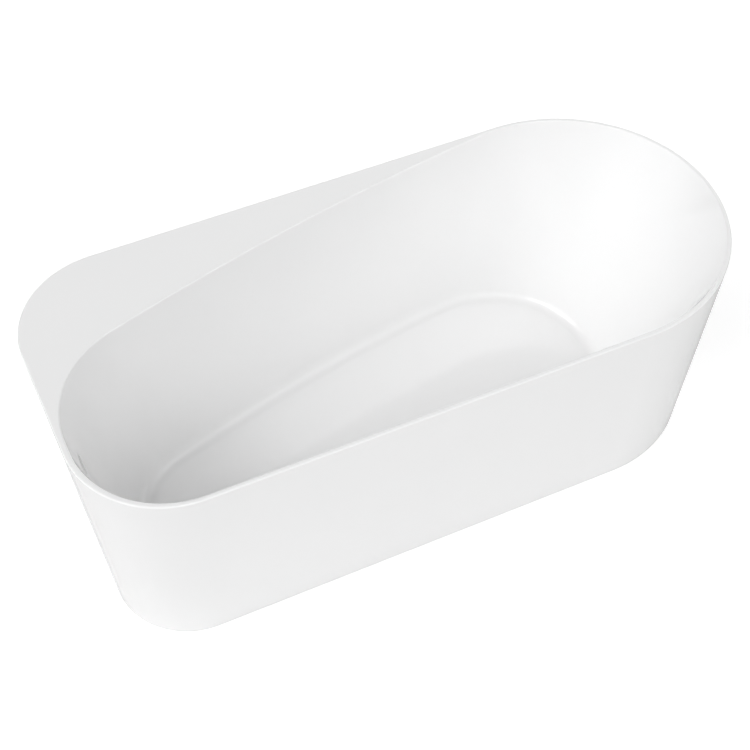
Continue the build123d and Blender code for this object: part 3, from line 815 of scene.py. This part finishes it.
def make_hose(material):
    """The overflow's hose, corrugated between its two plain cuffs."""
    places, ahead, along = evenly(spline_points(HOSE_ROUTE), HOSE_PITCH / WAVE_STEPS)
    around = heading(np.linspace(0, 360, HOSE_COLUMNS, endpoint=False))
    across = np.array((0.0, 1.0, 0.0))

    def ring_at(index, radius):
        side = np.cross(ahead[index], across)
        return places[index] + radius * (around[:, :1] * across + around[:, 1:] * side)

    rings = []
    for index, distance in enumerate(along):
        wavy = HOSE_CUFF < distance < along[-1] - HOSE_CUFF
        depth = HOSE_WAVE * (0.5 - 0.5 * math.cos(2 * math.pi * distance / HOSE_PITCH))
        rings.append(ring_at(index, HOSE_R - (depth if wavy else 0.0)))
    for index in range(len(along) - 1, -1, -BORE_STEPS):
        rings.append(ring_at(index, HOSE_BORE))
    rings.append(ring_at(0, HOSE_BORE))
    piece = looped_piece("overflow_pipe", rings, sharp_angle=50)
    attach(piece, "tub")
    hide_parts("overflow_hose")
    return finish(piece, material)


# ------------------------------------------------------------------ stage
def make_camera():
    """The camera, at the photograph's viewing angle."""
    azimuth = math.radians(CAMERA_AZIMUTH)
    elevation = math.radians(CAMERA_ELEVATION)
    flat = math.cos(elevation)
    back = Vector((math.sin(azimuth) * flat, -math.cos(azimuth) * flat, math.sin(elevation)))
    camera = bpy.data.objects.new("camera", bpy.data.cameras.new("camera"))
    bpy.context.scene.collection.objects.link(camera)
    camera.data.sensor_width = SENSOR_WIDTH
    camera.data.lens = CAMERA_LENS
    camera.location = CAMERA_TARGET + back * CAMERA_DISTANCE
    camera.rotation_euler = back.to_track_quat("Z", "Y").to_euler()
    bpy.context.scene.camera = camera


def make_floor():
    """A pale floor that reaches the horizon in low views, lifted towards white for the camera."""
    signs = ((-1, -1), (1, -1), (1, 1), (-1, 1))
    corners = [(x * FLOOR_REACH, y * FLOOR_REACH, 0) for x, y in signs]
    mesh = mesh_from("floor", corners, [(0, 1, 2, 3)])
    floor = link("floor", mesh)
    material, nodes, links, shader = new_material("studio_floor")
    cloud = noise(nodes, links, scale=0.7, detail=2.0)
    colour = tinted(nodes, links, cloud, dark=(0.86, 0.86, 0.86), light=(0.88, 0.88, 0.88))
    links.new(colour, shader.inputs["Base Color"])
    shader.inputs["Roughness"].default_value = FLOOR_ROUGHNESS
    shader.inputs["Emission Color"].default_value = WHITE
    rays = nodes.new("ShaderNodeLightPath")
    lift = spread(nodes, links, rays.outputs["Is Camera Ray"], 0.0, FLOOR_LIFT)
    links.new(lift, shader.inputs["Emission Strength"])
    mesh.materials.append(material)


def direction(azimuth, elevation):
    """Unit vector from a heading round from +X and a height above the floor, in degrees."""
    turn = math.radians(azimuth)
    rise = math.radians(elevation)
    flat = math.cos(rise)
    return Vector((flat * math.cos(turn), flat * math.sin(turn), math.sin(rise)))


def glow(nodes, links, place, azimuth, elevation, tightness, strength):
    """Strength of one soft round glow of the room, which fades with the angle from its middle."""
    facing = nodes.new("ShaderNodeVectorMath")
    facing.operation = "DOT_PRODUCT"
    facing.inputs[1].default_value = direction(azimuth, elevation)
    links.new(place.outputs["Generated"], facing.inputs[0])
    raised = nodes.new("ShaderNodeMapRange")
    raised.inputs["From Min"].default_value = -1.0
    links.new(facing.outputs["Value"], raised.inputs["Value"])
    fade = nodes.new("ShaderNodeMath")
    fade.operation = "POWER"
    fade.inputs[1].default_value = tightness
    links.new(raised.outputs["Result"], fade.inputs[0])
    return spread(nodes, links, fade.outputs["Value"], 0.0, strength)


def window(nodes, links, place, axis, low, high):
    """One between two values of a direction's share along an axis, with soft edges."""
    along = nodes.new("ShaderNodeVectorMath")
    along.operation = "DOT_PRODUCT"
    along.inputs[1].default_value = axis
    links.new(place.outputs["Generated"], along.inputs[0])
    away = nodes.new("ShaderNodeMath")
    away.operation = "SUBTRACT"
    away.inputs[1].default_value = (low + high) / 2
    links.new(along.outputs["Value"], away.inputs[0])
    far = nodes.new("ShaderNodeMath")
    far.operation = "ABSOLUTE"
    links.new(away.outputs["Value"], far.inputs[0])
    edge = nodes.new("ShaderNodeMapRange")
    edge.inputs["From Min"].default_value = (high - low) / 2 + PANEL_EDGE
    edge.inputs["From Max"].default_value = (high - low) / 2 - PANEL_EDGE
    links.new(far.outputs["Value"], edge.inputs["Value"])
    return edge.outputs["Result"]


def panel(nodes, links, place, azimuth, elevations, half_width, strength):
    """Strength of a bright panel of the room between two heights above the floor."""
    low, high = (math.sin(math.radians(elevation)) for elevation in elevations)
    turn = math.radians(azimuth)
    ahead = Vector((math.cos(turn), math.sin(turn), 0.0))
    across = Vector((-math.sin(turn), math.cos(turn), 0.0))
    result = window(nodes, links, place, Vector((0.0, 0.0, 1.0)), low, high)
    reach = math.sin(math.radians(half_width)) * math.cos(math.radians(sum(elevations) / 2))
    for axis, (start, end) in ((across, (-reach, reach)), (ahead, PANEL_SIDE)):
        both = nodes.new("ShaderNodeMath")
        both.operation = "MULTIPLY"
        links.new(result, both.inputs[0])
        links.new(window(nodes, links, place, axis, start, end), both.inputs[1])
        result = both.outputs["Value"]
    return spread(nodes, links, result, 0.0, strength)


def make_light():
    """A dark room with soft glows and one bright panel, and a white backdrop for the camera."""
    bpy.context.scene.view_settings.view_transform = "Standard"
    world = bpy.data.worlds.new("studio")
    world.use_nodes = True
    nodes = world.node_tree.nodes
    links = world.node_tree.links
    place = nodes.new("ShaderNodeTexCoord")
    light = panel(nodes, links, place, *PANEL)
    for settings in GLOWS:
        total = nodes.new("ShaderNodeMath")
        links.new(light, total.inputs[0])
        links.new(glow(nodes, links, place, *settings), total.inputs[1])
        light = total.outputs["Value"]
    room = nodes["Background"]
    room.inputs["Color"].default_value = WHITE
    links.new(light, room.inputs["Strength"])
    backdrop = nodes.new("ShaderNodeBackground")
    backdrop.inputs["Color"].default_value = WHITE
    rays = nodes.new("ShaderNodeLightPath")
    either = nodes.new("ShaderNodeMixShader")
    links.new(rays.outputs["Is Camera Ray"], either.inputs["Fac"])
    links.new(room.outputs["Background"], either.inputs[1])
    links.new(backdrop.outputs["Background"], either.inputs[2])
    links.new(either.outputs["Shader"], nodes["World Output"].inputs["Surface"])
    bpy.context.scene.world = world


def main():
    """Makes the scene and its pieces."""
    make_camera()
    make_light()
    make_floor()
    materials = {slot_name: plain_finish(slot_name) for slot_name in FINISHES}
    materials["sanitary_acrylic"] = sanitary_acrylic()
    finish_frame(materials)
    make_basin(materials["sanitary_acrylic"])
    make_apron(materials["sanitary_acrylic"])
    make_trim(materials["trim_plastic"])
    make_plug(materials["chrome"])
    make_hose(materials["hose_plastic"])
    for number in range(1, 6):
        make_stud(number, materials["zinc_steel"])


main()
